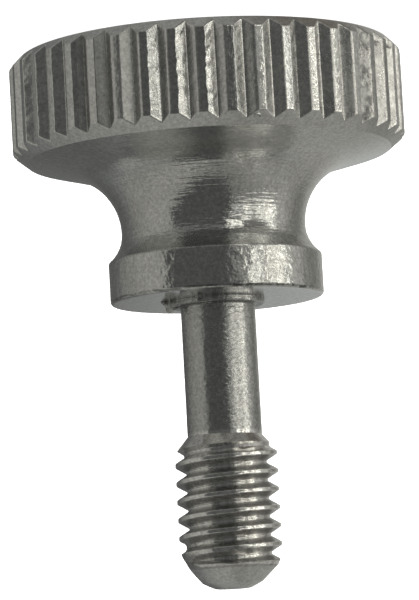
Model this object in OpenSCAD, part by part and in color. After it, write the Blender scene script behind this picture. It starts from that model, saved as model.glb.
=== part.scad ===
// Knurled thumb screw with a relieved shank, M4 x 0.7, turned in one piece.
// It stands on the flat top of its head: z = 0 is the head's top face, and
// +Z runs down the screw's own axis to the tip of the thread.
// All lengths are in millimetres and all angles in degrees.

/* [Head] */
// Diameter of the head over the lands of the knurl
head_d = 15.28; // [14.4:0.02:17]
// Height from the head's top face to the face that bears on the panel
head_h = 9.70; // [9.5:0.05:12]
// Height of the knurled rim with both of its chamfers
rim_h = 4.07; // [3.4:0.01:4.2]
// Width and height of the rim's top chamfer
rim_top_chamfer = 0.42; // [0.1:0.01:0.6]
// Width of the rim's bottom chamfer, measured along the radius
rim_low_chamfer_w = 0.56; // [0.2:0.01:0.7]
// Height of the rim's bottom chamfer, measured along the axis
rim_low_chamfer_h = 0.46; // [0.2:0.01:0.7]

/* [Knurl] */
// Number of straight V grooves round the rim
knurl_count = 44; // [24:1:48]
// Depth of one groove
knurl_depth = 0.30; // [0.1:0.01:0.34]
// Included angle of one groove
knurl_angle = 104; // [80:1:104]
// Angle of the first groove, from +X
knurl_phase = 5.03; // [0:0.01:14]

/* [Neck] */
// Diameter at the waist
waist_d = 7.14; // [6:0.02:7.4]
// Distance from the waist to the bearing face
waist_up = 2.76; // [2.6:0.01:2.9]
// Radius of the neck between the head and the waist
neck_head_r = 2.50; // [2:0.01:2.6]
// Radius of the neck between the waist and the collar
neck_collar_r = 1.45; // [1.3:0.01:1.6]

/* [Collar] */
// Diameter of the collar
collar_d = 8.28; // [8:0.02:8.4]
// Radius round the collar's upper edge
collar_neck_edge = 0.15; // [0.05:0.01:0.2]
// Radius round the collar's edge at the bearing face
collar_face_edge = 0.14; // [0.05:0.01:0.3]
// Diameter of the small step under the collar
step_d = 3.64; // [3:0.02:3.8]
// Height of the small step under the collar
step_h = 0.22; // [0.1:0.01:0.4]

/* [Shank and thread] */
// Length from the bearing face to the tip
screw_len = 11.15; // [10.5:0.05:16]
// Diameter of the relieved shank
shank_d = 2.88; // [2.4:0.02:3]
// Length of the relieved shank
shank_len = 5.10; // [3:0.05:5.5]
// Diameter over the crests of the thread
thread_d = 3.96; // [3.84:0.01:3.98]
// Length of the taper that leads from the shank up to the crests
run_in_len = 0.60; // [0.3:0.05:0.9]
// Slope of the tip's main chamfer, away from the axis
tip_slope = 46; // [40:1:50]
// Radius where the main chamfer meets the blunt end
tip_blend_r = 1.14; // [1:0.01:1.3]
// Radius of the flat on the blunt end
tip_flat_r = 0.66; // [0.3:0.01:0.8]
// Height of the blunt end's cone
tip_blunt_h = 0.23; // [0.15:0.01:0.3]

/* [Hidden] */
$fn = 128;

rim_r = head_d / 2;
rim_root_r = rim_r - knurl_depth;
rim_low_r = rim_r - rim_low_chamfer_w;
waist_r = waist_d / 2;
waist_z = head_h - waist_up;
collar_r = collar_d / 2;
shank_r = shank_d / 2;
thread_r = thread_d / 2;
tip_z = head_h + screw_len;
thread_z = head_h + shank_len + run_in_len;
chamfer_h = (thread_r - tip_blend_r) / tan(tip_slope);
chamfer_z = tip_z - tip_blunt_h - chamfer_h;

// Centre of the arc between the head and the waist. The underside is the
// straight slope that leaves the rim's lower edge and touches that arc.
head_arc_x = waist_r + neck_head_r;
under_slope = 180 - atan2(waist_z - rim_h, head_arc_x - rim_low_r)
    - asin(neck_head_r / norm([waist_z - rim_h, head_arc_x - rim_low_r]));
under_x = head_arc_x - neck_head_r * sin(under_slope);
under_z = waist_z - neck_head_r * cos(under_slope);

// Centre of the arc between the waist and the collar
collar_arc_x = waist_r + neck_collar_r;
// The small radius between that arc and the collar's side touches both
edge_x = collar_r - collar_neck_edge;
edge_z = waist_z + sqrt(pow(neck_collar_r + collar_neck_edge, 2)
                        - pow(collar_arc_x - edge_x, 2));
edge_k = neck_collar_r / (neck_collar_r + collar_neck_edge);
join_x = collar_arc_x + (edge_x - collar_arc_x) * edge_k;
join_z = waist_z + (edge_z - waist_z) * edge_k;

// Half section of the disc that carries the knurl, down to the underside
module rim_section() {
    polygon([
        [0, 0],
        [rim_r - rim_top_chamfer, 0],
        [rim_r, rim_top_chamfer],
        [rim_r, rim_h - rim_low_chamfer_h],
        [rim_low_r, rim_h],
        [under_x, under_z],
        [0, under_z]
    ]);
}

// Half section of the waisted neck, hollowed by two arcs
module neck_section() {
    difference() {
        translate([0, under_z - 0.2])
            square([under_x, waist_z - under_z + 0.2]);
        translate([head_arc_x, waist_z]) circle(r = neck_head_r);
        translate([under_x, under_z - 0.3]) square([1, 0.3]);
    }
    difference() {
        translate([0, waist_z]) square([join_x, join_z - waist_z]);
        translate([collar_arc_x, waist_z]) circle(r = neck_collar_r);
    }
}

// Half section of the collar with its two rounded edges
module collar_section() {
    polygon([
        [0, join_z],
        [join_x, join_z],
        [edge_x, edge_z],
        [collar_r, edge_z],
        [collar_r, head_h - collar_face_edge],
        [collar_r - collar_face_edge, head_h - collar_face_edge],
        [collar_r - collar_face_edge, head_h],
        [0, head_h]
    ]);
    translate([edge_x, edge_z]) circle(r = collar_neck_edge);
    translate([collar_r - collar_face_edge, head_h - collar_face_edge])
        circle(r = collar_face_edge);
}

// Half section of the step, the relieved shank and the thread's envelope
module screw_section() {
    polygon([
        [0, head_h - 0.2],
        [step_d / 2, head_h - 0.2],
        [step_d / 2, head_h + step_h],
        [shank_r, head_h + step_h],
        [shank_r, head_h + shank_len],
        [thread_r, thread_z],
        [thread_r, chamfer_z],
        [tip_blend_r, tip_z - tip_blunt_h],
        [tip_flat_r, tip_z],
        [0, tip_z]
    ]);
}

// One V groove, as a cutter that runs the whole height of the rim
module knurl_groove() {
    reach = knurl_depth + 0.3;
    half = reach * tan(knurl_angle / 2);
    translate([0, 0, -0.5])
        linear_extrude(height = rim_h + 1)
            polygon([
                [rim_root_r, 0],
                [rim_root_r + reach, -half],
                [rim_root_r + reach, half]
            ]);
}

module thumb_screw() {
    color([0.60, 0.595, 0.57])
    difference() {
        rotate_extrude() {
            rim_section();
            neck_section();
            collar_section();
            screw_section();
        }
        for (i = [0 : knurl_count - 1])
            rotate([0, 0, knurl_phase + i * 360 / knurl_count])
                knurl_groove();
    }
}

thumb_screw();
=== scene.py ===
import math

import bpy
import numpy as np
from mathutils import Matrix, Vector


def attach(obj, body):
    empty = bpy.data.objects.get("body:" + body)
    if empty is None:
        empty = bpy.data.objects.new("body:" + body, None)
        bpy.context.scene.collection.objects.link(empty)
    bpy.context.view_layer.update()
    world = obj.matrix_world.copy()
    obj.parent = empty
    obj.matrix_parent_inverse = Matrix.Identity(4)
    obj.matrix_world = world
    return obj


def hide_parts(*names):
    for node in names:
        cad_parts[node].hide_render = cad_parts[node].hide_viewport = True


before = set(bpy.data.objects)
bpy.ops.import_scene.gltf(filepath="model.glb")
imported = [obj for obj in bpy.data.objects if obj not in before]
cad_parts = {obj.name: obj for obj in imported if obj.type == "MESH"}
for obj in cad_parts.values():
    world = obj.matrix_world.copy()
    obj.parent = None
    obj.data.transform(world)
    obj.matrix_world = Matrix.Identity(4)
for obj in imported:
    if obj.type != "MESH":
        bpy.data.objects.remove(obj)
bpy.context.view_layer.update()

MM = 0.001
DEG = math.pi / 180.0

# ---------------------------------------------------------------- sizes, mm
RIM_R = 7.64
RIM_TOP_R = 7.22
RIM_LOW_R = 7.08
RIM_H = 4.07
LOW_SLOPE = 0.46 / 0.56
TEETH = 44
PHASE = 5.03 * DEG
PITCH_A = 2 * math.pi / TEETH
ROOT_R = 7.34
FLANK = 52.0 * DEG
WAIST_R = 3.57
WAIST_Z = 6.94
HEAD_ARC = 2.50
COLLAR_ARC = 1.45
COLLAR_R = 4.14
EDGE_A = 0.15
EDGE_B = 0.14
HEAD_H = 9.70
STEP_R = 1.82
STEP_H = 0.22
SHANK_R = 1.44
SHANK_END = 14.80
THREAD_R = 1.98
THREAD_ROOT = 1.57
THREAD_PITCH = 0.70
RUN_IN_END = 15.40
CHAMFER_Z = 19.8088
BLEND_R = 1.14
BLEND_Z = 20.62
FLAT_R = 0.66
TIP_Z = 20.85


# ------------------------------------------------------------ lattice noise
def _hash(ix, iy, iz, seed):
    h = (ix.astype(np.int64) * 374761393 + iy.astype(np.int64) * 668265263
         + iz.astype(np.int64) * 1274126177 + seed * 974634777) & 0xFFFFFFFF
    h = ((h ^ (h >> 13)) * 1274126177) & 0xFFFFFFFF
    h = (h ^ (h >> 16)) & 0xFFFFFFFF
    return h.astype(np.float64) / 4294967295.0 * 2 - 1


def noise(p, scale, seed=0):
    """Smooth value noise in -1..1 at points p (n, 3), scale in cells per mm."""
    q = np.asarray(p, float) * scale
    i = np.floor(q)
    f = q - i
    f = f * f * (3 - 2 * f)
    i = i.astype(np.int64)
    out = 0.0
    for dx in (0, 1):
        wx = f[:, 0] if dx else 1 - f[:, 0]
        for dy in (0, 1):
            wy = f[:, 1] if dy else 1 - f[:, 1]
            for dz in (0, 1):
                wz = f[:, 2] if dz else 1 - f[:, 2]
                out = out + wx * wy * wz * _hash(i[:, 0] + dx, i[:, 1] + dy, i[:, 2] + dz, seed)
    return out


# material slots of the one piece
SATIN, WALL, TURNED, CHAMFER, SHANK, LAND, FACE, WALL2, STEP, THREAD = range(10)


# ------------------------------------------------------------- mesh builder
class Builder:
    def __init__(self):
        self.v = []
        self.n = 0
        self.f = []
        self.tags = []
        self.tag = SATIN

    def add(self, pts):
        pts = np.asarray(pts, float).reshape(-1, 3)
        ids = np.arange(self.n, self.n + len(pts))
        self.v.append(pts)
        self.n += len(pts)
        return ids

    def tri(self, a, b, c):
        self.f.append((int(a), int(b), int(c)))
        self.tags.append(self.tag)

    def strip(self, a, b, tags=None):
        """Quads, as two triangles, between two closed rings of one count. b is further along the path."""
        a2, b2 = np.roll(a, -1), np.roll(b, -1)
        self.f.extend(zip(a.tolist(), a2.tolist(), b2.tolist()))
        self.f.extend(zip(a.tolist(), b2.tolist(), b.tolist()))
        t = [self.tag] * len(a) if tags is None else list(tags)
        self.tags.extend(t + t)

    def zip_rings(self, a, b, ang_a, ang_b):
        """Joins two closed rings of different counts by angle. Both run anticlockwise."""
        na, nb = len(a), len(b)
        oa = np.argsort(ang_a % (2 * math.pi))
        ob = np.argsort(ang_b % (2 * math.pi))
        a, b = a[oa], b[ob]
        aa, ab = (ang_a % (2 * math.pi))[oa], (ang_b % (2 * math.pi))[ob]
        i = j = 0
        while i < na or j < nb:
            next_a = aa[(i + 1) % na] + (2 * math.pi if i + 1 >= na else 0)
            next_b = ab[(j + 1) % nb] + (2 * math.pi if j + 1 >= nb else 0)
            if j >= nb or (i < na and next_a <= next_b):
                self.tri(a[i % na], a[(i + 1) % na], b[j % nb])
                i += 1
            else:
                self.tri(a[i % na], b[(j + 1) % nb], b[j % nb])
                j += 1

    def fan(self, ring, centre, up):
        r2 = np.roll(ring, -1)
        for p, q in zip(ring, r2):
            if up:
                self.tri(p, q, centre)
            else:
                self.tri(q, p, centre)


def ring(r, z, ang):
    r = np.broadcast_to(r, ang.shape)
    z = np.broadcast_to(z, ang.shape)
    return np.stack([r * np.cos(ang), r * np.sin(ang), z], 1)


def corner(p, q, s, cut, n=3):
    """Points of a small rounding at q on the way from p to s, in the (r, z) plane."""
    p, q, s = (np.asarray(x, float) for x in (p, q, s))
    d1 = (p - q) / np.linalg.norm(p - q)
    d2 = (s - q) / np.linalg.norm(s - q)
    a, b = q + d1 * cut, q + d2 * cut
    t = np.linspace(0, 1, n)[:, None]
    return (1 - t) ** 2 * a + 2 * t * (1 - t) * q + t ** 2 * b


# ------------------------------------------------------- profile of a tooth
def tooth_profile(edge_r, root_fillet=0.04, shift=0.0):
    """Plan points (x, y) of half a groove and half a land, from the groove's root at y = 0."""
    d = np.array([math.cos(FLANK), math.sin(FLANK)])
    m = np.array([-math.sin(FLANK), math.cos(FLANK)])
    start = np.array([ROOT_R, 0.0])
    lo, hi = 0.0, 1.0
    for _ in range(60):
        t = (lo + hi) / 2
        c = start + d * t + m * edge_r
        if np.linalg.norm(c) < RIM_R - edge_r:
            lo = t
        else:
            hi = t
    on_flank = start + d * t
    c = start + d * t + m * edge_r
    a0 = math.atan2(-m[1], -m[0])
    a1 = math.atan2(c[1], c[0])
    fillet = [c + edge_r * np.array([math.cos(a), math.sin(a)]) for a in np.linspace(a0, a1, 4)]
    tan = root_fillet / math.tan(FLANK)
    root = np.array([ROOT_R + root_fillet / math.sin(FLANK) - root_fillet, 0.0])
    root_end = start + d * tan
    f1 = root_end + (on_flank - root_end) * 0.33
    f2 = root_end + (on_flank - root_end) * 0.67
    a_edge = math.atan2(fillet[-1][1], fillet[-1][0])
    a_mid = PITCH_A / 2
    l1 = (a_edge + a_mid) / 2
    pts = [root, root_end, f1, f2] + fillet + [RIM_R * np.array([math.cos(l1), math.sin(l1)]),
                                               RIM_R * np.array([math.cos(a_mid), math.sin(a_mid)])]
    pts = np.array(pts)
    return np.arctan2(pts[:, 1], pts[:, 0]), np.hypot(pts[:, 0], pts[:, 1])


def knurl_columns():
    """Angle and radius of every column of the rim, 18 to a tooth. The roll has left one edge sharper."""
    th, rr = tooth_profile(0.08)
    th2, rr2 = tooth_profile(0.19)
    a = np.concatenate([th, PITCH_A - th2[1:-1][::-1]])
    r = np.concatenate([rr, rr2[1:-1][::-1]])
    kind = np.zeros(10)
    kind[[0, 1]] = -1.0
    kind[[7, 8, 9]] = 1.0
    k = np.concatenate([kind, kind[1:-1][::-1]])
    side = np.concatenate([np.full(10, 1.0), np.full(8, -1.0)])
    ang, rad, knd, sd, idx = [], [], [], [], []
    for i in range(TEETH):
        ang.append(PHASE + i * PITCH_A + a)
        rad.append(r)
        knd.append(k)
        sd.append(side)
        idx.append(np.full(len(a), i))
    return (np.concatenate(ang), np.concatenate(rad), np.concatenate(knd),
            np.concatenate(sd), np.concatenate(idx))


# ------------------------------------------------ section under the knurl
def neck_profile():
    """(r, z) points from the rim's lower edge to the collar's edge on the bearing face, with small edge roundings."""
    hx = WAIST_R + HEAD_ARC
    slope = (math.pi - math.atan2(WAIST_Z - RIM_H, hx - RIM_LOW_R)
             - math.asin(HEAD_ARC / math.hypot(WAIST_Z - RIM_H, hx - RIM_LOW_R)))
    ux, uz = hx - HEAD_ARC * math.sin(slope), WAIST_Z - HEAD_ARC * math.cos(slope)
    cax = WAIST_R + COLLAR_ARC
    ex = COLLAR_R - EDGE_A
    ez = WAIST_Z + math.sqrt((COLLAR_ARC + EDGE_A) ** 2 - (cax - ex) ** 2)
    k = COLLAR_ARC / (COLLAR_ARC + EDGE_A)
    jx, jz = cax + (ex - cax) * k, WAIST_Z + (ez - WAIST_Z) * k
    pts = []

    def line(p, q, n):
        for t in np.linspace(0, 1, n + 1)[1:]:
            pts.append((p[0] + (q[0] - p[0]) * t, p[1] + (q[1] - p[1]) * t))

    def arc(c, rad, p, q, n):
        a0 = math.atan2(p[1] - c[1], p[0] - c[0])
        a1 = math.atan2(q[1] - c[1], q[0] - c[0])
        if abs(a1 - a0) > math.pi:
            a1 += 2 * math.pi if a1 < a0 else -2 * math.pi
        for a in np.linspace(a0, a1, n + 1)[1:]:
            pts.append((c[0] + rad * math.cos(a), c[1] + rad * math.sin(a)))

    line((RIM_LOW_R - 0.02, RIM_H + 0.0055), (ux, uz), 12)
    arc((hx, WAIST_Z), HEAD_ARC, (ux, uz), (WAIST_R, WAIST_Z), 30)
    arc((cax, WAIST_Z), COLLAR_ARC, (WAIST_R, WAIST_Z), (jx, jz), 16)
    arc((ex, ez), EDGE_A, (jx, jz), (COLLAR_R, ez), 5)
    line((COLLAR_R, ez), (COLLAR_R, HEAD_H - EDGE_B), 14)
    arc((COLLAR_R - EDGE_B, HEAD_H - EDGE_B), EDGE_B, (COLLAR_R, HEAD_H - EDGE_B),
        (COLLAR_R - EDGE_B, HEAD_H), 5)
    return pts, (ux, uz), (ex, ez), (jx, jz)


# ---------------------------------------------------------------- thread
CREST_Z0 = 16.396
THREAD_U = np.array([-0.350, -0.330, -0.309, -0.284, -0.186, -0.090, -0.073, -0.052,
                     0.052, 0.073, 0.090, 0.186, 0.284, 0.309, 0.330])


def thread_shape():
    """Radius of the 60 degree thread at each of THREAD_U, with its small roundings."""
    r = np.clip(THREAD_ROOT + (0.3045 - np.abs(THREAD_U)) / math.tan(30 * DEG), THREAD_ROOT, THREAD_R)
    r[[1, 14]] = THREAD_ROOT + 0.003
    r[[2, 13]] = THREAD_ROOT + 0.014
    r[[3, 12]] = THREAD_ROOT + 0.043
    r[[5, 10]] = THREAD_R - 0.043
    r[[6, 9]] = THREAD_R - 0.015
    r[[7, 8]] = THREAD_R - 0.002
    return r


def thread_column(alpha):
    """(z, r) points of the thread's column at angle alpha, between the shank and the tip's blend."""
    zc = CREST_Z0 + THREAD_PITCH * (math.degrees(alpha) - 180.0) / 360.0
    k = np.arange(-4, 10)
    tz = (zc + THREAD_PITCH * k[:, None] + THREAD_U[None, :]).ravel()
    tr = np.tile(thread_shape(), len(k))
    # the die cuts in over the first turns and runs out at the tip, sooner on one side
    turn = (math.degrees(alpha) - 180.0) % 360.0
    last_root = 19.546 + THREAD_PITCH * turn / 360.0
    if turn <= 182.0:
        rise = 1.732 - 0.632 * min(1.0, turn / 50.0)
        top = 1.98 - 0.185 * min(1.0, max(0.0, turn - 15.0) / 40.0)
        cap = np.minimum(THREAD_ROOT + np.maximum(tz - last_root - 0.045, 0.0) * rise, top)
        tr = np.where(tz > last_root, np.minimum(tr, cap), tr)
    side = math.exp(-abs((turn - 180.0) / 38.0) ** 4)
    floor_r = np.interp(tz, [14.9, 15.35, 15.72, 16.05, 19.74, 19.84, 19.90, 20.0, 20.3],
                        [1.78, 1.70, 1.612, 1.57, 1.57, 1.66, 1.78, 1.92, 1.98])
    floor_r = floor_r + 0.145 * side * np.clip((tz - 18.9) / 0.2, 0, 1)
    tr = np.maximum(tr, np.minimum(floor_r, THREAD_R))
    start = 14.965 - 0.015 * math.cos(alpha)
    ez = np.array([14.0, start, start + 0.64, 19.33, 19.60, 19.84, 20.0, 20.3, BLEND_Z, 21.5])
    er = np.array([SHANK_R, SHANK_R, THREAD_R, THREAD_R, 1.928, 1.868, 1.783, 1.472, BLEND_R, 0.2])
    er = er - side * np.array([0, 0, 0, 0, 0.063, 0.138, 0.138, 0.050, 0, 0])
    z = np.unique(np.concatenate([tz, ez]))
    z = z[(z > 14.5) & (z < BLEND_Z + 1e-9)]
    ft, fe = np.interp(z, tz, tr), np.interp(z, ez, er)
    out = []
    for i in range(len(z)):
        if i:
            g0, g1 = ft[i - 1] - fe[i - 1], ft[i] - fe[i]
            if g0 * g1 < 0 and min(abs(g0), abs(g1)) > 1e-5:
                t = g0 / (g0 - g1)
                zz = z[i - 1] + (z[i] - z[i - 1]) * t
                out.append((zz, float(np.interp(zz, ez, er)), 3))
        on_env = fe[i] < ft[i] - 1e-7
        is_break = np.min(np.abs(ez - z[i])) < 1e-9
        if on_env and not is_break:
            continue
        if not on_env and is_break and abs(fe[i] - ft[i]) > 1e-7:
            continue
        out.append((z[i], min(ft[i], fe[i]), 1 if on_env else 2))
    out = [o for o in out if SHANK_END + 0.012 < o[0] < BLEND_Z - 0.03]
    keep = []
    for o in out:
        if keep and o[0] - keep[-1][0] < 0.006:
            if o[2] == 3:
                keep[-1] = o
            continue
        keep.append(o)
    keep = [(SHANK_END, SHANK_R, 0)] + keep + [(BLEND_Z - 0.025, BLEND_R + 0.0259, 0)]
    # long plain stretches on the chamfer get a point or two more
    full = [keep[0]]
    for o in keep[1:]:
        gap = o[0] - full[-1][0]
        if gap > 0.16:
            n = int(gap / 0.12)
            p = full[-1]
            for t in np.arange(1, n + 1) / (n + 1):
                full.append((p[0] + gap * t, p[1] + (o[1] - p[1]) * t, 1))
        full.append(o)
    return np.array(full)


def hit(p, az, z, wa, wz, depth):
    """Depth, in mm, of a soft dent round azimuth az (degrees) and height z, at points p."""
    a = np.degrees(np.arctan2(p[:, 1], p[:, 0]))
    da = (a - az + 180.0) % 360.0 - 180.0
    rr = np.hypot(p[:, 0], p[:, 1])
    d2 = (da * DEG * rr / wa) ** 2 + ((p[:, 2] - z) / wz) ** 2
    return depth * np.exp(-d2 ** 1.5)


def build_screw():
    b = Builder()
    ang, rad, kind, side, tooth = knurl_columns()
    ncol = len(ang)
    rng = np.random.RandomState(11)
    rag = 0.5 + 1.1 * rng.rand(TEETH)
    lean = (rng.rand(TEETH) - 0.5) * 0.012
    deep = (rng.rand(TEETH) - 0.5) * 0.030
    # a tooth's land edge that the roll has torn: the columns of its sharper edge
    torn = np.where((side > 0) & (kind >= 0) & (kind < 1), 1.0, 0.0)
    torn[(side > 0) & (kind == 1)] = 0.5
    in_groove = np.clip((RIM_R - rad) / (RIM_R - ROOT_R), 0, 1)

    def rim_point(z):
        """Radius and angle of every rim column at height z, with the knurl's unevenness."""
        z = np.broadcast_to(z, ang.shape)
        p = ring(rad, z, ang)
        wob = noise(p * np.array([1, 1, 0.45]), 1.7, 3) * 0.008 + noise(p, 4.5, 5) * 0.004
        # the flanks that face one way are flatter, two of them the most
        flat = np.exp(-(((np.degrees(ang) + 61.0 + 180) % 360 - 180) / 12.0) ** 6)
        r = rad + wob * (0.3 + 0.7 * in_groove) * (1 - 0.75 * flat) - 0.005 - deep[tooth] * in_groove
        even = np.where(side > 0, 0.6 - 0.4 * flat, 1.0)
        t = (noise(p * np.array([1, 1, 0.25]), 2.3, 11) * 0.010 + noise(p, 6.0, 17) * 0.004) * even + lean[tooth]
        tear = (noise(p, 3.2, 23) * 0.6 + noise(p, 8.0, 29) * 0.9) * (1 - 0.75 * flat)
        t = t + torn * rag[tooth] * 0.030 * tear
        r = r + torn * rag[tooth] * 0.007 * np.maximum(tear, 0)
        # dents and chips of the real one
        r = r - hit(p, -58.2, 1.21, 0.07, 0.05, 0.035)
        r = r - hit(p, -151.3, 0.60, 0.08, 0.07, 0.16) - hit(p, -159.8, 0.56, 0.07, 0.05, 0.12)
        # one flank stands steeper than the rest
        steep = np.exp(-(((np.degrees(ang) + 62.6 + 180) % 360 - 180) / 3.6) ** 4) * (side > 0)
        t = t + steep * (in_groove - 0.5) * 0.020
        steep = np.exp(-(((np.degrees(ang) + 54.4 + 180) % 360 - 180) / 3.6) ** 4) * (side > 0)
        t = t + steep * (in_groove - 0.5) * 0.033
        # the smeared patch across one flank
        patch = np.exp(-(((np.degrees(ang) + 63.5 + 180) % 360 - 180) / 3.0) ** 4)
        r = r + patch * 0.012 * np.exp(-((z - 1.36) / 0.13) ** 6)
        return np.minimum(r, RIM_R), ang + t / RIM_R

    # top face, from the centre out
    b.tag = TURNED
    m_in = 132
    ang_in = np.arange(m_in) * 2 * math.pi / m_in
    centre = b.add([[0, 0, 0]])[0]
    prev = b.add(ring(0.5, 0.0, ang_in))
    b.fan(prev, centre, up=False)
    for r in (1.6, 3.1, 4.8, 6.1):
        cur = b.add(ring(r, 0.0, ang_in))
        b.strip(prev, cur)
        prev = cur
    edge0 = b.add(ring(6.9, 0.0, ang))
    b.zip_rings(prev, edge0, ang_in, ang)
    prev = edge0

    r_top, a_top = rim_point(0.45)
    z_t = r_top - RIM_TOP_R
    r_low, a_low = rim_point(RIM_H - 0.5)
    z_b = RIM_H - (r_low - RIM_LOW_R) * LOW_SLOPE
    cut = 0.045
    wall_tags = np.where((kind > 0.5) & (np.roll(kind, -1) > 0.5), LAND, np.where(side > 0, WALL, WALL2))
    chain = []
    # rounding between the top face and the chamfer
    for dr, dz in ((-0.03, 0.0), (-0.004, 0.0045), (0.02, 0.02)):
        chain.append((np.full(ncol, RIM_TOP_R + dr), np.full(ncol, dz), ang, None, CHAMFER))
    chain.append((RIM_TOP_R + (r_top - RIM_TOP_R) * 0.5, z_t * 0.5, ang, None, CHAMFER))
    d45 = cut * math.sqrt(0.5)
    chain.append((r_top - d45, z_t - d45, a_top, None, CHAMFER))
    chain.append((r_top - 0.25 * d45, z_t + 0.12 * cut, a_top, None, CHAMFER))
    n_rows = 46
    for i, t in enumerate(np.linspace(0, 1, n_rows)):
        zz = z_t + cut + (z_b - z_t - 2 * cut) * t
        r, aa = rim_point(zz)
        w = min(1.0, min(t, 1 - t) * 14)
        r = r * w + (r_top if t < 0.5 else r_low) * (1 - w)
        aa = aa * w + (a_top if t < 0.5 else a_low) * (1 - w)
        chain.append((r, zz, aa, wall_tags, None))
    low_dir = np.array([-1.0, LOW_SLOPE]) / math.hypot(1, LOW_SLOPE)
    chain.append((r_low - 0.2 * cut, z_b - 0.12 * cut, a_low, wall_tags, None))
    chain.append((r_low + low_dir[0] * cut, z_b + low_dir[1] * cut, a_low, None, CHAMFER))
    chain.append((r_low + (RIM_LOW_R - r_low) * 0.5, z_b + (RIM_H - z_b) * 0.5, ang, None, CHAMFER))
    chain.append((np.full(ncol, RIM_LOW_R + 0.018), np.full(ncol, RIM_H - 0.018 * LOW_SLOPE), ang, None, CHAMFER))
    chain.append((np.full(ncol, RIM_LOW_R + 0.001), np.full(ncol, RIM_H - 0.003), ang, None, CHAMFER))
    for r, z, aa, tags, tag in chain:
        pts = ring(r, z, aa)
        # a lip that the roll pushed out on the low chamfer
        pts[:, 2] += hit(pts, -104.2, 3.74, 0.13, 0.05, 0.030) - hit(pts, -107.0, 3.80, 0.06, 0.05, 0.020)
        cur = b.add(pts)
        if tag is not None:
            b.tag = tag
        b.strip(prev, cur, tags)
        prev = cur

    # ---- underside, neck and collar
    b.tag = TURNED
    m1 = 176
    ang1 = np.arange(m1) * 2 * math.pi / m1
    first = b.add(ring(RIM_LOW_R - 0.02, RIM_H + 0.0055, ang1))
    b.zip_rings(prev, first, ang, ang1)
    prev = first
    pts, under, edge, join = neck_profile()
    for r, z in pts:
        p = ring(r, z, ang1)
        if z > edge[1] - 0.02 and r > COLLAR_R - 0.2 and z < HEAD_H - 1e-6:
            # the collar isn't quite true
            k = 1 - noise(p * np.array([1, 1, 0.6]), 1.3, 41) * 0.0009 - 0.0009
            p[:, :2] *= k[:, None]
        cur = b.add(p)
        b.tag = SATIN if z > edge[1] + 1e-6 and r > COLLAR_R - 1e-6 else TURNED
        b.strip(prev, cur)
        prev = cur
    b.tag = FACE
    for r in (3.6, 3.1, 2.6):
        cur = b.add(ring(r, HEAD_H, ang1))
        b.strip(prev, cur)
        prev = cur

    # ---- step, with its torn edge and the burr that stands out on one side
    m3 = 264
    ang3 = np.arange(m3) * 2 * math.pi / m3
    az3 = np.degrees(ang3)
    cur = b.add(ring(2.50, HEAD_H, ang3))
    b.zip_rings(prev, cur, ang1, ang3)
    prev = cur

    def near(az, width, power=4):
        d = (az3 - az + 180) % 360 - 180
        return np.exp(-np.abs(d / width) ** power)

    tongue = near(-9.5, 6.0, 2.5)
    root = near(-14.0, 14.0, 6)
    lobe = near(-16.0, 7.0, 3)
    curl = near(-66.0, 4.0)
    # radius, height, how much the burr pushes a point out and down, how much the torn edge moves it
    rows3 = [(2.44, 0.0, 0.0, 0.0, 0.0), (2.38, 0.0, 0.0, 0.0, 0.0), (STEP_R + 0.03, 0.0, 0.22, 0.0, 0.3),
             (STEP_R + 0.008, 0.012, 0.26, 0.0, 0.6), (STEP_R, 0.045, 0.28, 0.0, 0.8),
             (STEP_R, 0.085, 0.27, 0.03, 1.0), (STEP_R, 0.125, 0.22, 0.07, 1.0),
             (STEP_R, STEP_H - 0.045, 0.15, 0.12, 1.0), (STEP_R + 0.004, STEP_H - 0.014, 0.13, 0.16, 1.0),
             (STEP_R - 0.016, STEP_H, 0.09, 0.19, 0.8), (STEP_R - 0.11, STEP_H, 0.04, 0.11, 0.4),
             (STEP_R - 0.22, STEP_H + 0.004, 0.0, 0.04, 0.1)]
    for r, dz, out, down, torn_k in rows3:
        p = ring(r, HEAD_H + dz, ang3)
        n1 = noise(p, 3.0, 51) * 0.7 + noise(p, 8.0, 53) * 0.3
        n2 = noise(p, 4.0, 59) * 0.7 + noise(p, 10.0, 63) * 0.3
        jag = 1 + 0.8 * noise(p, 6.0, 57)
        grow = torn_k * (0.016 * n1 + 0.055 * root * (1 + n1) + 0.05 * curl) + out * tongue * jag
        p[:, :2] *= (1 + grow / r)[:, None]
        p[:, 2] += torn_k * (dz > 0.1) * 0.022 * n2 + down * lobe * jag
        if dz > 0.02:
            p[:, 2] -= 0.05 * near(-61.0, 3.0) * torn_k
        cur = b.add(p)
        b.tag = FACE if dz == 0 and torn_k < 0.35 else STEP
        b.strip(prev, cur)
        prev = cur

    # ---- shank
    b.tag = STEP
    m2 = 132
    ang2 = np.arange(m2) * 2 * math.pi / m2
    top_of_step = HEAD_H + STEP_H + 0.08
    c3 = corner((STEP_R, HEAD_H + STEP_H), (SHANK_R, HEAD_H + STEP_H), (SHANK_R, 12), 0.06, 4)
    cur = b.add(ring(c3[0][0], c3[0][1] + 0.002, ang2))
    b.zip_rings(prev, cur, ang3, ang2)
    prev = cur
    shank = [tuple(p) for p in c3[1:]]
    for z in np.linspace(top_of_step + 0.06, SHANK_END - 0.12, 40):
        shank.append((SHANK_R, z))
    for r, z in shank:
        p = ring(r, z, ang2)
        if z > top_of_step:
            k = 1 + (noise(p * np.array([0.6, 0.6, 1.2]), 2.2, 61) * 0.003
                     - 0.004 * np.exp(-((z - 11.76) / 0.05) ** 2)
                     + 0.004 * np.exp(-((z - 14.72) / 0.05) ** 2)) / SHANK_R
            p[:, :2] *= k[:, None]
        cur = b.add(p)
        b.tag = SHANK if z > top_of_step else STEP
        b.strip(prev, cur)
        prev = cur

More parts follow.
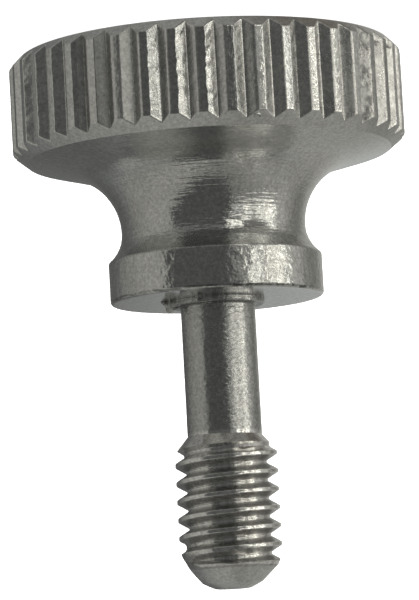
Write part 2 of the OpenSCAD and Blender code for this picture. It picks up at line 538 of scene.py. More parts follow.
    # ---- thread, column by column
    b.tag = THREAD
    cols = []
    for a in ang2:
        c = thread_column(a)
        p = np.stack([c[:, 1] * math.cos(a), c[:, 1] * math.sin(a), c[:, 0]], 1)
        w = np.clip((c[:, 0] - 15.1) / 0.3, 0, 1) * np.clip((20.0 - c[:, 0]) / 0.2, 0, 1)
        d = (noise(p, 5.0, 71) * 0.0035 + noise(p * np.array([1, 1, 0.4]), 2.0, 73) * 0.003 - 0.004) * w
        d = d - hit(p, -145.0, 15.57, 0.05, 0.06, -0.02) * w
        p[:, :2] *= (1 + d / np.maximum(c[:, 1], 1.0))[:, None]
        cols.append((b.add(p), p))
    first = np.array([c[0][0] for c in cols])
    last = np.array([c[0][-1] for c in cols])
    b.tag = SHANK
    b.strip(prev, first)
    for i in range(m2):
        (ia, pa), (ib, pb) = cols[i], cols[(i + 1) % m2]
        x = y = 0
        while x < len(ia) - 1 or y < len(ib) - 1:
            if y == len(ib) - 1:
                go_a = True
            elif x == len(ia) - 1:
                go_a = False
            else:
                go_a = np.linalg.norm(pa[x + 1] - pb[y]) < np.linalg.norm(pa[x] - pb[y + 1])
            if max(pa[x][2], pb[y][2]) < 14.88:
                b.tag = SHANK
            else:
                b.tag = CHAMFER if min(pa[x][2], pb[y][2]) > 20.0 else THREAD
            if go_a:
                b.tri(ia[x], ib[y], ia[x + 1])
                x += 1
            else:
                b.tri(ia[x], ib[y], ib[y + 1])
                y += 1
    b.tag = CHAMFER
    prev = last
    q0 = np.array([BLEND_R + 0.0259, BLEND_Z - 0.025])
    q2 = np.array([BLEND_R - 0.10, BLEND_Z + 0.048])
    q1 = np.array([BLEND_R - 0.022, BLEND_Z + 0.0065])
    blend = [tuple((1 - t) ** 2 * q0 + 2 * t * (1 - t) * q1 + t * t * q2) for t in (0.33, 0.67, 1.0)]
    tipc = corner((BLEND_R, BLEND_Z), (FLAT_R, TIP_Z), (0, TIP_Z), 0.12, 5)
    tips = blend + [(0.93, BLEND_Z + 0.102)] + [tuple(p) for p in tipc] + [(0.30, TIP_Z)]
    for r, z in tips:
        cur = b.add(ring(r, z, ang2))
        b.strip(prev, cur)
        prev = cur
    centre = b.add([[0, 0, TIP_Z]])[0]
    b.fan(prev, centre, up=True)
    v = np.concatenate(b.v)
    f = np.array(b.f, int)
    return v, f, np.array(b.tags, int)


def corner_normals(v, f, limit_deg=38.0):
    """Area-weighted corner normals that don't smooth over edges sharper than the limit."""
    e1, e2 = v[f[:, 1]] - v[f[:, 0]], v[f[:, 2]] - v[f[:, 0]]
    fn = np.cross(e1, e2)
    area = np.linalg.norm(fn, axis=1)
    unit = fn / np.maximum(area, 1e-30)[:, None]
    cv = f.ravel()
    cf = np.repeat(np.arange(len(f)), 3)
    order = np.argsort(cv, kind="stable")
    sv, sf = cv[order], cf[order]
    start = np.searchsorted(sv, sv, side="left")
    count = np.searchsorted(sv, sv, side="right") - start
    pos = np.arange(len(sv)) - start
    acc = np.zeros((len(sv), 3))
    lim = math.cos(limit_deg * DEG)
    for k in range(int(count.max())):
        live = np.nonzero(k < count)[0]
        other = start[live] + (pos[live] + k) % count[live]
        g, me = sf[other], sf[live]
        w = (unit[g] * unit[me]).sum(1) > lim
        acc[live[w]] += fn[g[w]]
    acc /= np.maximum(np.linalg.norm(acc, axis=1), 1e-30)[:, None]
    out = np.zeros_like(acc)
    out[order] = acc
    return out


def make_mesh(name, v, f, tags):
    me = bpy.data.meshes.new(name)
    me.from_pydata((v * MM).tolist(), [], f.tolist())
    me.update()
    me.polygons.foreach_set("material_index", tags.astype(np.int32))
    me.polygons.foreach_set("use_smooth", np.ones(len(me.polygons), bool))
    me.normals_split_custom_set(corner_normals(v, f).tolist())
    ob = bpy.data.objects.new(name, me)
    bpy.context.scene.collection.objects.link(ob)
    return ob


# ------------------------------------------------------------ node helpers
class Tree:
    """Short calls for building a node tree."""

    def __init__(self, tree):
        self.t = tree
        self.t.nodes.clear()

    def node(self, kind, **props):
        n = self.t.nodes.new(kind)
        for k, val in props.items():
            setattr(n, k, val)
        return n

    def link(self, a, b):
        self.t.links.new(a, b)

    def _put(self, socket, val):
        if isinstance(val, bpy.types.NodeSocket):
            self.t.links.new(val, socket)
        elif val is not None:
            socket.default_value = val

    def m(self, op, a, b=None, c=None, clamp=False):
        n = self.node("ShaderNodeMath", operation=op)
        n.use_clamp = clamp
        self._put(n.inputs[0], a)
        if b is not None:
            self._put(n.inputs[1], b)
        if c is not None:
            self._put(n.inputs[2], c)
        return n.outputs[0]

    def vm(self, op, a, b=None, scale=None):
        n = self.node("ShaderNodeVectorMath", operation=op)
        self._put(n.inputs[0], a)
        if b is not None:
            self._put(n.inputs[1], b)
        if scale is not None:
            self._put(n.inputs["Scale"], scale)
        return n.outputs["Value"] if op in ("DOT_PRODUCT", "LENGTH", "DISTANCE") else n.outputs[0]

    def smooth(self, x, a, b, lo=0.0, hi=1.0):
        n = self.node("ShaderNodeMapRange", interpolation_type="SMOOTHSTEP")
        self._put(n.inputs["Value"], x)
        n.inputs["From Min"].default_value = a
        n.inputs["From Max"].default_value = b
        n.inputs["To Min"].default_value = lo
        n.inputs["To Max"].default_value = hi
        return n.outputs[0]

    def lin(self, x, a, b, lo=0.0, hi=1.0):
        n = self.node("ShaderNodeMapRange", interpolation_type="LINEAR")
        n.clamp = True
        self._put(n.inputs["Value"], x)
        n.inputs["From Min"].default_value = a
        n.inputs["From Max"].default_value = b
        n.inputs["To Min"].default_value = lo
        n.inputs["To Max"].default_value = hi
        return n.outputs[0]

    def band(self, x, a, b, soft):
        return self.m("MULTIPLY", self.smooth(x, a - soft / 2, a + soft / 2),
                      self.smooth(x, b - soft / 2, b + soft / 2, 1.0, 0.0))

    def mix(self, f, a, b):
        n = self.node("ShaderNodeMix", data_type="FLOAT")
        self._put(n.inputs[0], f)
        self._put(n.inputs[2], a)
        self._put(n.inputs[3], b)
        return n.outputs[0]

    def mixc(self, f, a, b, mode="MIX"):
        n = self.node("ShaderNodeMix", data_type="RGBA", blend_type=mode)
        self._put(n.inputs[0], f)
        for s, val in ((n.inputs[6], a), (n.inputs[7], b)):
            if isinstance(val, (tuple, list)):
                val = (*val, 1.0) if len(val) == 3 else val
            self._put(s, val)
        return n.outputs[2]

    def noise(self, vec, scale, detail=2.0, rough=0.5, dist=0.0, dim="3D"):
        n = self.node("ShaderNodeTexNoise", noise_dimensions=dim)
        self._put(n.inputs["Vector"], vec)
        self._put(n.inputs["Scale"], scale)
        n.inputs["Detail"].default_value = detail
        n.inputs["Roughness"].default_value = rough
        n.inputs["Distortion"].default_value = dist
        return n.outputs[0]

    def voro(self, vec, scale, feature="F1", rnd=1.0):
        n = self.node("ShaderNodeTexVoronoi", feature=feature)
        self._put(n.inputs["Vector"], vec)
        n.inputs["Scale"].default_value = scale
        n.inputs["Randomness"].default_value = rnd
        return n.outputs["Distance"]

    def xyz(self, x, y, z):
        n = self.node("ShaderNodeCombineXYZ")
        for s, val in zip(n.inputs, (x, y, z)):
            self._put(s, val)
        return n.outputs[0]

    def sep(self, v):
        n = self.node("ShaderNodeSeparateXYZ")
        self.link(v, n.inputs[0])
        return n.outputs

    def ramp(self, x, stops, interp="LINEAR"):
        n = self.node("ShaderNodeValToRGB")
        r = n.color_ramp
        r.interpolation = interp
        while len(r.elements) > 1:
            r.elements.remove(r.elements[-1])
        first = True
        for pos, col in stops:
            e = r.elements[0] if first else r.elements.new(pos)
            e.position = pos
            first = False
            e.color = (*col, 1.0) if len(col) == 3 else col
        self.link(x, n.inputs[0])
        return n.outputs[0]


# ------------------------------------------------------------------ studio
def studio():
    """The surroundings that the metal mirrors: a dark side, softboxes and pale walls, fixed in the world."""
    world = bpy.data.worlds.new("studio")
    bpy.context.scene.world = world
    world.use_nodes = True
    t = Tree(world.node_tree)
    co = t.node("ShaderNodeTexCoord").outputs["Generated"]
    d = t.vm("NORMALIZE", co)
    x, y, z = t.sep(d)
    psi = t.m("MULTIPLY", t.m("ARCTAN2", t.m("MULTIPLY", x, -1.0), t.m("MULTIPLY", y, -1.0)), 180 / math.pi)
    el = t.m("MULTIPLY", t.m("ARCSINE", z), 180 / math.pi)
    u = t.m("ADD", t.m("DIVIDE", psi, 360.0), 0.5)

    warm = (1.0, 0.99, 0.92)
    cool = (0.97, 1.0, 0.965)

    def stops(rows):
        return [((p + 180) / 360.0, tuple(v * c for c in tint)) for p, v, tint in rows]

    low_walls = t.ramp(u, stops([
        (-180, 0.32, cool), (-176.5, 0.14, cool), (-168, 0.145, cool), (-160, 0.12, cool), (-148, 0.115, cool), (-137, 0.14, cool),
        (-126, 0.18, cool), (-114, 0.24, warm), (-102, 0.285, warm), (-90, 0.32, warm), (-78, 0.35, warm),
        (-60, 0.34, warm), (22, 0.175, cool), (34, 0.19, warm), (38, 0.33, warm), (60, 0.37, warm),
        (86, 0.50, warm), (98, 0.44, warm), (108, 0.335, warm), (120, 0.235, warm), (130, 0.205, warm),
        (140, 0.26, warm), (152, 0.37, warm), (164, 0.43, warm), (176.5, 0.50, cool), (180, 0.32, cool)]))
    high_walls = t.ramp(u, stops([
        (-180, 0.18, cool), (-172, 0.125, cool), (-160, 0.13, cool), (-148, 0.17, cool), (-132, 0.225, cool),
        (-118, 0.28, warm), (-100, 0.315, warm), (-60, 0.335, warm), (14, 0.22, warm), (30, 0.20, warm),
        (48, 0.25, warm), (64, 0.31, warm), (90, 0.35, warm), (120, 0.32, warm), (150, 0.325, warm),
        (170, 0.33, warm), (180, 0.18, cool)]))
    walls = t.mixc(t.smooth(el, 6, 30), low_walls, high_walls)

    # the dark side, which narrows upwards
    left = t.m("ADD", -53.0, t.lin(el, 4, 66, 0.0, 33.0))
    right = t.m("ADD", t.m("ADD", 24.5, t.smooth(el, 50, 66, 0.0, -8.0)), t.smooth(el, 2, -30, 0.0, -11.0))
    dark = t.m("MULTIPLY", t.smooth(t.m("SUBTRACT", psi, left), -4.0, 4.0),
               t.smooth(t.m("SUBTRACT", psi, right), -1.6, 1.6, 1.0, 0.0))
    dark = t.m("MULTIPLY", dark, t.smooth(el, 64.5, 67.5, 1.0, 0.0))
    dark = t.m("MULTIPLY", dark, t.smooth(el, -34, -24, 0.35, 1.0))
    col = t.mixc(dark, walls, tuple(0.091 * c for c in cool))

    back = t.m("MULTIPLY", t.smooth(el, 36, 46), t.smooth(t.m("ABSOLUTE", psi), 122, 152))
    col = t.mixc(back, col, (0.31, 0.31, 0.295))
    ceil_w = t.smooth(el, 60, 72)
    side = t.m("MULTIPLY", t.smooth(psi, 10, 120, 1.10, 0.78), t.smooth(psi, 128, 162, 1.0, 0.78))
    side = t.m("MULTIPLY", side, t.smooth(psi, -146, -168, 1.0, 1.30))
    col = t.vm("SCALE", col, scale=t.mix(ceil_w, 1.0, side))
    under = t.m("MULTIPLY", t.band(psi, 132, 166, 6), t.band(el, 50, 74, 4))
    col = t.vm("SCALE", col, scale=t.mix(under, 1.0, 0.68))
    mid = t.m("MULTIPLY", t.band(psi, 17, 38, 2), t.band(el, -30, -5, 5))
    col = t.vm("ADD", col, t.vm("SCALE", (1.0, 0.98, 0.9), scale=t.m("MULTIPLY", mid, 0.10)))
    low_w = t.smooth(el, -27, -46)
    low_c = t.mixc(t.band(psi, 20, 166, 24), (0.205, 0.205, 0.198), (0.130, 0.120, 0.106))
    low_c = t.mixc(t.smooth(el, -66, -80), low_c, (0.25, 0.25, 0.24))
    col = t.mixc(low_w, col, low_c)

    # two bright panes with a bar between them, broken up as foliage breaks up a window
    grain = t.noise(d, 10.0, 3.5, 0.62, 0.4)
    fleck = t.noise(d, 22.0, 3.0, 0.62)
    hue = t.noise(d, 14.0, 1.0, 0.5)
    edge_n = t.m("MULTIPLY", t.m("SUBTRACT", t.noise(d, 16.0, 2.0, 0.5), 0.5), 7.0)
    pj = t.m("ADD", psi, edge_n)
    ej = t.m("ADD", el, edge_n)
    body = t.m("MULTIPLY", t.band(pj, 38, 83, 2), t.band(t.m("SUBTRACT", t.m("ADD", el, t.m("MULTIPLY", edge_n, 0.4)), t.smooth(psi, 48, 62, 0.0, 3.0)), -36, 8.5, 2.5))
    # a dark round shape stands in front of the lower half, left of the middle
    arch = t.m("ADD", t.m("POWER", t.m("DIVIDE", t.m("SUBTRACT", psi, 56), 21.0), 2.0),
               t.m("POWER", t.m("DIVIDE", t.m("SUBTRACT", el, -40), 24.0), 2.0))
    body = t.m("MULTIPLY", body, t.smooth(arch, 0.85, 1.12))
    ext = t.m("MULTIPLY", t.band(pj, 21, 38, 3), t.m("ADD", 0.0, t.band(ej, -41, -19, 5)))
    foot = t.m("MULTIPLY", t.band(pj, 76, 91, 4), t.band(ej, -38, -19, 4))
    pane = t.m("MAXIMUM", body, t.m("MAXIMUM", t.m("MULTIPLY", ext, 0.9), t.m("MULTIPLY", foot, 0.8)))
    bar = t.m("MULTIPLY", t.band(pj, 48, 57, 3), 0.72)
    bar = t.m("ADD", bar, t.m("MULTIPLY", t.m("MULTIPLY", t.band(psi, 38, 74, 5), t.band(el, -24, 1, 6)),
                              t.mix(t.smooth(el, -9, -4), 0.15, 0.22)), clamp=True)
    pane = t.m("MULTIPLY", pane, t.m("SUBTRACT", 1.0, bar))
    power = t.m("MULTIPLY", t.lin(grain, 0.42, 0.57, 0.05, 1.75), t.lin(fleck, 0.42, 0.58, 0.08, 1.95))
    glow = t.m("MULTIPLY", pane, power)
    # a bright strip along the top of the panes
    strip = t.m("MULTIPLY", t.band(pj, 21, 82, 3), t.band(t.m("ADD", el, t.m("MULTIPLY", edge_n, 0.2)), 3.5, 7.2, 1.4))
    glow = t.m("MAXIMUM", glow, t.m("MULTIPLY", strip, 1.15))
    col = t.vm("SCALE", col, scale=t.mix(pane, 1.0, 0.60))
    tint = t.mixc(t.lin(hue, 0.38, 0.62), (1.0, 0.96, 0.80), (0.97, 0.98, 0.95))
    glow_c = t.vm("SCALE", tint, scale=glow)
    shadow = t.m("MULTIPLY", t.smooth(arch, 1.1, 0.8), t.smooth(el, -52, -36))
    col = t.vm("SCALE", col, scale=t.mix(shadow, 1.0, 0.62))
    total = t.vm("ADD", col, glow_c)

    bg = t.node("ShaderNodeBackground")
    t.link(total, bg.inputs["Color"])
    bg.inputs["Strength"].default_value = 1.0
    out = t.node("ShaderNodeOutputWorld")
    t.link(bg.outputs[0], out.inputs[0])
    world.cycles.sampling_method = "MANUAL"
    world.cycles.sample_map_resolution = 1024


def stage_set():
    """A plain pale floor and a plain white surround. The metal doesn't mirror them."""
    import bmesh
    me = bpy.data.meshes.new("floor")
    bm = bmesh.new()
    bmesh.ops.create_circle(bm, cap_ends=True, radius=0.85, segments=128)
    bm.to_mesh(me)
    bm.free()
    floor = bpy.data.objects.new("floor", me)
    bpy.context.scene.collection.objects.link(floor)
    floor.location = (0, 0, -0.00002)
    m = bpy.data.materials.new("pale_floor")
    m.use_nodes = True
    t = Tree(m.node_tree)
    p = t.node("ShaderNodeBsdfDiffuse")
    p.inputs["Color"].default_value = (0.86, 0.86, 0.86, 1)
    e = t.node("ShaderNodeEmission")
    e.inputs["Color"].default_value = (1, 1, 1, 1)
    e.inputs["Strength"].default_value = 0.93
    a = t.node("ShaderNodeAddShader")
    t.link(p.outputs[0], a.inputs[0])
    t.link(e.outputs[0], a.inputs[1])
    out = t.node("ShaderNodeOutputMaterial")
    t.link(a.outputs[0], out.inputs[0])
    me.materials.append(m)

    me = bpy.data.meshes.new("surround")
    bm = bmesh.new()
    bmesh.ops.create_icosphere(bm, subdivisions=5, radius=0.845)
    bm.to_mesh(me)
    bm.free()
    dome = bpy.data.objects.new("surround", me)
    bpy.context.scene.collection.objects.link(dome)
    m = bpy.data.materials.new("white_surround")
    m.use_nodes = True
    t = Tree(m.node_tree)
    e = t.node("ShaderNodeEmission")
    e.inputs["Strength"].default_value = 1.05
    out = t.node("ShaderNodeOutputMaterial")
    t.link(e.outputs[0], out.inputs[0])
    me.materials.append(m)
    for o in (floor, dome):
        o.visible_glossy = False
        o.visible_transmission = False
    for o in (dome,):
        o.visible_diffuse = False
        o.visible_shadow = False

    # soft key from the camera's side and above: it lights the floor only
    sun = bpy.data.lights.new("key", "SUN")
    sun.energy = 2.8
    sun.angle = 12 * DEG
    key = bpy.data.objects.new("key", sun)
    bpy.context.scene.collection.objects.link(key)
    key.rotation_euler = Vector((0.03, 0.80, -1.0)).to_track_quat("-Z", "Y").to_euler()
    key.visible_glossy = False


def camera():
    """The taking camera: 134 mm off, 7 degrees above the floor, rolled so that the head is uppermost."""
    al, ta = 0.055, 0.121
    p0 = np.array([0.307, 0.016, 134.506])
    a = np.array([math.sin(al) * math.cos(ta), math.cos(al) * math.cos(ta), -math.sin(ta)])
    e1 = np.cross(a, [0, 0, 1.0])
    e1 /= np.linalg.norm(e1)
    if e1[0] < 0:
        e1 = -e1
    e2 = np.cross(a, e1)
    if e2[2] > 0:
        e2 = -e2
    rot = np.stack([-e1, -e2, a], 1)
    loc = np.array([0, 0, HEAD_H]) - rot.T @ p0
    right, up, back = rot.T @ [1.0, 0, 0], rot.T @ [0, -1.0, 0], rot.T @ [0, 0, -1.0]
    m = np.eye(4)
    m[:3, 0], m[:3, 1], m[:3, 2], m[:3, 3] = right, up, back, loc * MM
    cam = bpy.data.cameras.new("camera")
    cam.sensor_width = 36.0
    cam.lens = 3475.0 * 36.0 / 600.0
    cam.clip_start = 0.005
    cam.clip_end = 20.0
    ob = bpy.data.objects.new("camera", cam)
    bpy.context.scene.collection.objects.link(ob)
    ob.matrix_world = Matrix(m.tolist())
    bpy.context.scene.camera = ob


# ------------------------------------------------------------------- steel
def steel(kind):
    """One steel, in the finish that its tool left, with painted shade and highlights in its colour: satin, knurl wall,
    turned, chamfer or shank.
    """
    m = bpy.data.materials.new("steel_" + ("satin", "wall", "turned", "chamfer", "shank", "land", "face", "wall2", "step", "thread")[kind])
    m.use_nodes = True
    t = Tree(m.node_tree)
    co = t.node("ShaderNodeTexCoord").outputs["Object"]
    p = t.vm("SCALE", co, scale=1000.0)
    x, y, z = t.sep(p)
    r = t.m("SQRT", t.m("ADD", t.m("MULTIPLY", x, x), t.m("MULTIPLY", y, y)))
    r1 = t.m("MAXIMUM", r, 0.05)
    cx, cy = t.m("DIVIDE", x, r1), t.m("DIVIDE", y, r1)
    bs = t.node("ShaderNodeBsdfPrincipled")
    bs.inputs["Metallic"].default_value = 1.0

    def lumps(scale, size, detail=1.0, rough=0.5, squash=(1, 1, 1)):
        vec = p if squash == (1, 1, 1) else t.vm("MULTIPLY", p, squash)
        return t.m("MULTIPLY", t.m("SUBTRACT", t.noise(vec, scale, detail, rough), 0.5), size)

    def add(*terms):
        out = terms[0]
        for k in terms[1:]:
            out = t.m("ADD", out, k)
        return out

    az = t.m("MULTIPLY", t.m("ARCTAN2", y, x), 180 / math.pi)
    # painted shade: a dark line along the collar's lower edge, where a small groove's shadow would fall, strongest
    # between -152 and -14 degrees
    wob = t.m("MULTIPLY", t.m("SUBTRACT", t.noise(p, 1.1, 2.0, 0.6), 0.5), 0.20)
    edge_line_z = t.m("ADD", z, wob)
    edge_line_shade = t.m("MULTIPLY", t.band(edge_line_z, 9.57, 9.66, 0.035), t.lin(t.noise(p, 4.0, 2.0, 0.6), 0.34, 0.50))
    edge_line_sides = t.m("ADD", t.m("MULTIPLY", t.band(az, -152, -97, 8), 0.72), t.m("MULTIPLY", t.band(az, -93, -14, 10), 0.50))
    edge_shade = t.m("SUBTRACT", 1.0, t.m("MULTIPLY", edge_line_shade, edge_line_sides))
    # the colour factor of each finish, set below, holds real stains and rust together with painted shade and painted
    # highlights
    stain_and_painted_light = None
    tone = t.noise(p, 1.3, 3.0, 0.6)
    speck = t.noise(p, 9.0, 2.0, 0.6)
    base = (0.70, 0.70, 0.685)
    q = t.m("SUBTRACT", z, t.m("MULTIPLY", r, 0.8))
    # the roll has left one side of the rim smoother than the other
    calm = t.m("MAXIMUM", t.smooth(az, -70.3, -72.5, 0.35, 1.0), t.smooth(az, 60.0, 110.0, 0.35, 1.0))

    def rings(ka, kq, size, detail=1.0):
        """Turning marks: bands across the axis, ka sets how soon one fades round the axis."""
        vec = t.xyz(t.m("MULTIPLY", cx, ka), t.m("MULTIPLY", cy, ka), t.m("MULTIPLY", q, kq))
        return t.m("MULTIPLY", t.m("SUBTRACT", t.noise(vec, 1.0, detail, 0.5), 0.5), size)

    if kind == SATIN:
        h = add(lumps(2.3, 0.024), lumps(5.0, 0.014), lumps(12.0, 0.0045), lumps(26.0, 0.0018))
        rough = t.lin(tone, 0.3, 0.7, 0.08, 0.13)
        # painted shade: the dark line along the collar's lower edge
        stain_and_painted_light = edge_shade
    elif kind == LAND:
        h = t.m("MULTIPLY", calm, add(lumps(3.0, 0.008), lumps(7.0, 0.007), lumps(16.0, 0.0032),
                                      lumps(8.0, 0.003, 2.0, 0.6, (1, 1, 0.10))))
        rough = t.lin(tone, 0.3, 0.7, 0.08, 0.12)
        # painted highlight: the lands from -129 to -101 degrees are lighter
        stain_and_painted_light = t.m("ADD", 1.0, t.m("MULTIPLY", t.band(az, -129.0, -101.0, 4.0), 0.25))
    elif kind == WALL:
        # two of the flanks are matt
        matt = t.m("ADD", t.band(az, -70.3, -59.0, 1.0), t.band(az, -58.6, -50.5, 1.0), clamp=True)
        even = t.m("MAXIMUM", matt, t.band(az, -150.0, -100.0, 3.0))
        h = t.m("MULTIPLY", t.m("MULTIPLY", calm, t.mix(even, 1.0, 0.3)),
                add(lumps(8.0, 0.004, 2.0, 0.6, (1, 1, 0.10)), lumps(3.0, 0.004), lumps(6.0, 0.005),
                    lumps(14.0, 0.0050)))
        # painted highlight: the flanks from -150 to -72 and from -50 to -12 degrees are lighter; the matt flanks
        # between them are mostly darker
        stain_and_painted_light = add(t.m("MULTIPLY", t.band(az, -70.3, -64.2, 0.8), 0.06), t.m("MULTIPLY", t.band(az, -63.4, -59.0, 0.8), -0.16),
                    t.m("MULTIPLY", t.band(az, -58.6, -50.5, 1.0), -0.24),
                    t.m("MULTIPLY", t.band(az, -93.0, -72.0, 1.5), 0.10),
                    t.m("MULTIPLY", t.band(az, -150.0, -100.0, 3.0), 0.26),
                    t.m("MULTIPLY", t.band(az, -49.5, -12.0, 3.0), 0.14), 1.0)
        rough = t.mix(matt, t.lin(tone, 0.3, 0.7, 0.13, 0.20), 0.42)
    elif kind == WALL2:
        h = add(lumps(9.0, 0.005, 2.0, 0.6, (1, 1, 0.08)), lumps(4.0, 0.006), lumps(9.0, 0.005),
                lumps(20.0, 0.003))
        rough = t.lin(tone, 0.3, 0.7, 0.24, 0.32)
        base = (0.76, 0.75, 0.73)
        # rust-brown patches on the flanks of one side
        pv = t.xyz(x, y, t.m("MULTIPLY", z, 0.5))
        blot = t.lin(t.noise(pv, 3.6, 3.0, 0.68), 0.42, 0.57, 0.46, -0.24)
        stain_and_painted_light = add(1.0, t.m("MULTIPLY", t.m("MULTIPLY", t.band(az, -149.0, -139.5, 2.0), blot), -1.0),
                    t.m("MULTIPLY", t.band(az, -172.0, -149.0, 2.0), t.lin(blot, -0.24, 0.46, 0.26, -0.04)))
    elif kind == TURNED:
        comb = t.m("MULTIPLY", add(rings(1.2, 3.0, 0.014), rings(2.6, 11.0, 0.015), rings(3.0, 6.0, 0.013),
                                   rings(16.0, 14.0, 0.008), rings(30.0, 30.0, 0.003)),
                   t.smooth(z, 4.7, 5.3, 0.35, 1.0))
        h = add(comb, lumps(7.0, 0.004), lumps(16.0, 0.002))
        corner_z = t.m("MULTIPLY", t.smooth(z, 7.5, 7.9), t.smooth(z, 8.25, 8.35, 1.0, 0.0))
        rough = add(t.lin(tone, 0.3, 0.7, 0.08, 0.13), t.m("MULTIPLY", corner_z, 0.14), t.smooth(z, 5.0, 4.5, 0.0, 0.07))
        base = (0.68, 0.68, 0.668)
        # painted shade: the head's underside is darker towards both sides, with a painted highlight down the middle
        side_shade_and_highlight = add(t.m("MULTIPLY", t.smooth(x, 2.5, 5.5), 0.13), t.m("MULTIPLY", t.smooth(x, -3.8, -6.2), 0.18))
        side_shade_and_highlight = t.m("MULTIPLY", t.m("SUBTRACT", 1.08, side_shade_and_highlight), t.m("ADD", 1.0, t.m("MULTIPLY", t.band(x, -1.0, 1.5, 2.5), 0.05)))
        stain_and_painted_light = t.m("MULTIPLY", edge_shade, t.mix(t.smooth(z, 4.7, 5.3), side_shade_and_highlight, 1.0))
        tan = t.node("ShaderNodeTangent", direction_type="RADIAL", axis="Z")
        t.link(tan.outputs[0], bs.inputs["Tangent"])
        bs.inputs["Anisotropic"].default_value = 0.7
        bs.inputs["Anisotropic Rotation"].default_value = 0.25
    elif kind == FACE:
        h = add(rings(2.0, 9.0, 0.0015), lumps(5.0, 0.004), lumps(12.0, 0.0020), lumps(26.0, 0.0010))
        rough = t.lin(tone, 0.3, 0.7, 0.07, 0.12)
        rot = t.noise(p, 5.0, 3.0, 0.65)
        # painted shade: the face is darker next to the foot of the step, broken up by random mottle
        foot = t.m("ADD", t.smooth(r, 1.86, 2.00), t.lin(rot, 0.40, 0.62, -0.25, 0.25))
        stain_and_painted_light = t.m("MULTIPLY", t.lin(foot, 0.0, 1.0, 0.72, 1.0), t.lin(rot, 0.3, 0.7, 0.86, 1.12))
        # painted shade: the face is darker towards +x
        stain_and_painted_light = t.m("MULTIPLY", stain_and_painted_light, t.smooth(x, 1.2, 3.4, 0.95, 0.76))
    elif kind == STEP:
        h = add(lumps(3.0, 0.014), lumps(7.0, 0.012), lumps(18.0, 0.004), lumps(34.0, 0.002))
        rough = t.lin(tone, 0.3, 0.7, 0.22, 0.32)
        base = (0.66, 0.66, 0.65)
        rot = t.noise(p, 6.0, 3.0, 0.65)
        # painted shade: the step is darker at its foot, broken up by random mottle
        foot = t.m("ADD", t.smooth(z, 9.79, 9.85), t.lin(rot, 0.40, 0.62, -0.28, 0.28))
        # painted shadow: darker on the step's top where it turns into the shank
        step_corner_shadow = t.m("MULTIPLY", t.smooth(r, 1.79, 1.74), t.smooth(z, 9.885, 9.91))
        burr = t.band(az, -32, 7, 5)
        stain_and_painted_light = t.m("MULTIPLY", t.lin(foot, 0.0, 1.0, 0.66, 1.0), t.lin(rot, 0.34, 0.66, 0.84, 1.14))
        stain_and_painted_light = t.m("MULTIPLY", stain_and_painted_light, t.m("SUBTRACT", 1.0, t.m("MULTIPLY", step_corner_shadow, 0.45)))
        dull = t.m("MULTIPLY", t.band(az, -76, -26, 12), t.lin(rot, 0.62, 0.40, 0.04, 0.18))
        stain_and_painted_light = t.m("MULTIPLY", stain_and_painted_light, t.m("SUBTRACT", 1.0, dull))
        stain_and_painted_light = t.m("MULTIPLY", stain_and_painted_light, t.m("SUBTRACT", 1.0, t.m("MULTIPLY", burr, t.lin(rot, 0.60, 0.44, 0.20, 0.30))))
    elif kind == THREAD:
        # the crests and the roots are polished and get a lighter colour, a painted highlight along them; the flanks
        # between them are dull and brownish
        h = add(lumps(3.0, 0.007), lumps(8.0, 0.0035), lumps(20.0, 0.0010))
        rot = t.noise(p, 5.0, 2.0, 0.6)
        rr = t.m("ADD", r, t.lin(rot, 0.3, 0.7, -0.012, 0.012))
        # painted highlight: the last crest edge above the chamfer gets the same lighter colour
        last = t.m("MULTIPLY", t.smooth(z, 19.86, 19.90), t.smooth(rr, 1.755, 1.785))
        polish_and_highlight = t.m("MAXIMUM", t.m("MAXIMUM", t.smooth(rr, 1.640, 1.590), t.smooth(rr, 1.895, 1.950)),
                    t.m("MAXIMUM", last, t.smooth(z, 15.75, 15.50)))
        rough = t.mix(polish_and_highlight, 0.27, 0.10)
        base = (0.78, 0.772, 0.752)
        stain_and_painted_light = t.m("MULTIPLY", t.mix(polish_and_highlight, 0.72, 1.16), t.lin(rot, 0.35, 0.65, 0.90, 1.08))
    elif kind == CHAMFER:
        h = add(lumps(5.0, 0.008), lumps(12.0, 0.0045), lumps(28.0, 0.0012))
        rough = t.lin(tone, 0.3, 0.7, 0.28, 0.36)
        # a short lip that the roll pushed up on the low chamfer
        su = t.m("MULTIPLY", t.m("SUBTRACT", az, -104.2), 7.3 * DEG)
        sv = t.m("SUBTRACT", t.m("SUBTRACT", z, 3.76), t.m("MULTIPLY", t.m("MULTIPLY", su, su), 2.2))
        lip = t.m("MULTIPLY", t.band(su, -0.15, 0.15, 0.08), t.band(sv, -0.030, 0.030, 0.05))
        h = t.m("ADD", h, t.m("MULTIPLY", lip, 0.050))
        # darker in the corner where the thread ends; the chamfer by the top face gets a lighter colour, a painted
        # highlight
        end = t.m("MULTIPLY", t.band(z, 19.9, 20.04, 0.03), t.m("MULTIPLY", t.smooth(az, -112, -98), t.smooth(az, 20, -5)))
        stain_and_painted_light = t.m("MULTIPLY", t.m("SUBTRACT", 1.0, t.m("MULTIPLY", end, 0.45)), t.smooth(z, 1.0, 2.0, 1.20, 1.0))
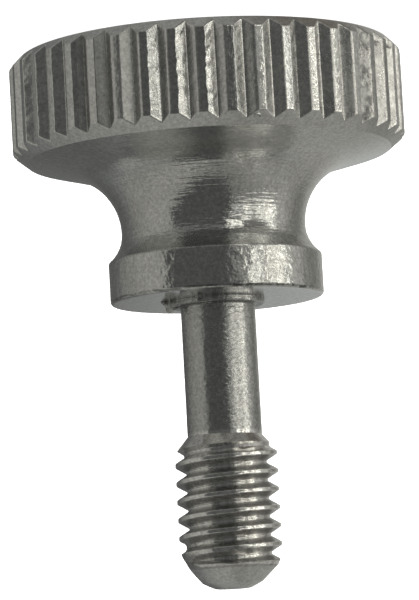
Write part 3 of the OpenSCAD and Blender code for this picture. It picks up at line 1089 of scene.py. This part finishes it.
        # painted shade: the low chamfer is darker towards -x
        low = t.m("MULTIPLY", t.band(z, 2.0, 6.0, 1.0), t.smooth(x, -5.2, -6.6))
        stain_and_painted_light = t.m("MULTIPLY", stain_and_painted_light, t.m("SUBTRACT", 1.0, t.m("MULTIPLY", low, 0.26)))
        base = (0.75, 0.75, 0.735)
    else:
        h = add(lumps(3.4, 0.018, 1.0, 0.5, (1, 1, 1.9)), lumps(8.0, 0.011, 1.0, 0.5, (0.7, 0.7, 1.6)),
                lumps(6.0, 0.005, 2.0, 0.6, (0.25, 0.25, 3.5)), lumps(20.0, 0.0024))
        rough = t.lin(tone, 0.3, 0.7, 0.18, 0.26)
        base = (0.59, 0.59, 0.58)
    grain = t.noise(p, 7.0, 0.0, 0.5)
    fine = t.noise(p, 13.0, 1.0, 0.6)
    grime = t.m("MULTIPLY", t.lin(speck, 0.30, 0.46, 0.86, 1.0),
                t.m("MULTIPLY", t.lin(grain, 0.3, 0.7, 0.91, 1.09), t.lin(fine, 0.32, 0.68, 0.88, 1.12)))
    shade = t.m("MULTIPLY", grime, t.lin(tone, 0.25, 0.75, 0.94, 1.04))
    if stain_and_painted_light is not None:
        shade = t.m("MULTIPLY", shade, stain_and_painted_light)
    t.link(t.vm("SCALE", base, scale=shade), bs.inputs["Base Color"])
    t.link(rough, bs.inputs["Roughness"])
    bump = t.node("ShaderNodeBump")
    bump.inputs["Strength"].default_value = 1.0
    bump.inputs["Distance"].default_value = 0.001
    t.link(h, bump.inputs["Height"])
    t.link(bump.outputs[0], bs.inputs["Normal"])
    out = t.node("ShaderNodeOutputMaterial")
    t.link(bs.outputs[0], out.inputs[0])
    return m


# ------------------------------------------------------------------- build
verts, faces, tags = build_screw()
screw = make_mesh("thumb_screw_body", verts, faces, tags)
for finish in range(10):
    screw.data.materials.append(steel(finish))
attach(screw, "root")
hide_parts("thumb_screw")
print("triangles", len(faces), "slots", [int((tags == k).sum()) for k in range(10)])

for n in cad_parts.values():
    n.data.materials.clear()
    n.data.materials.append(screw.data.materials[0])

studio()
stage_set()
camera()
bpy.context.scene.view_settings.view_transform = "Standard"
bpy.context.scene.view_settings.look = "None"
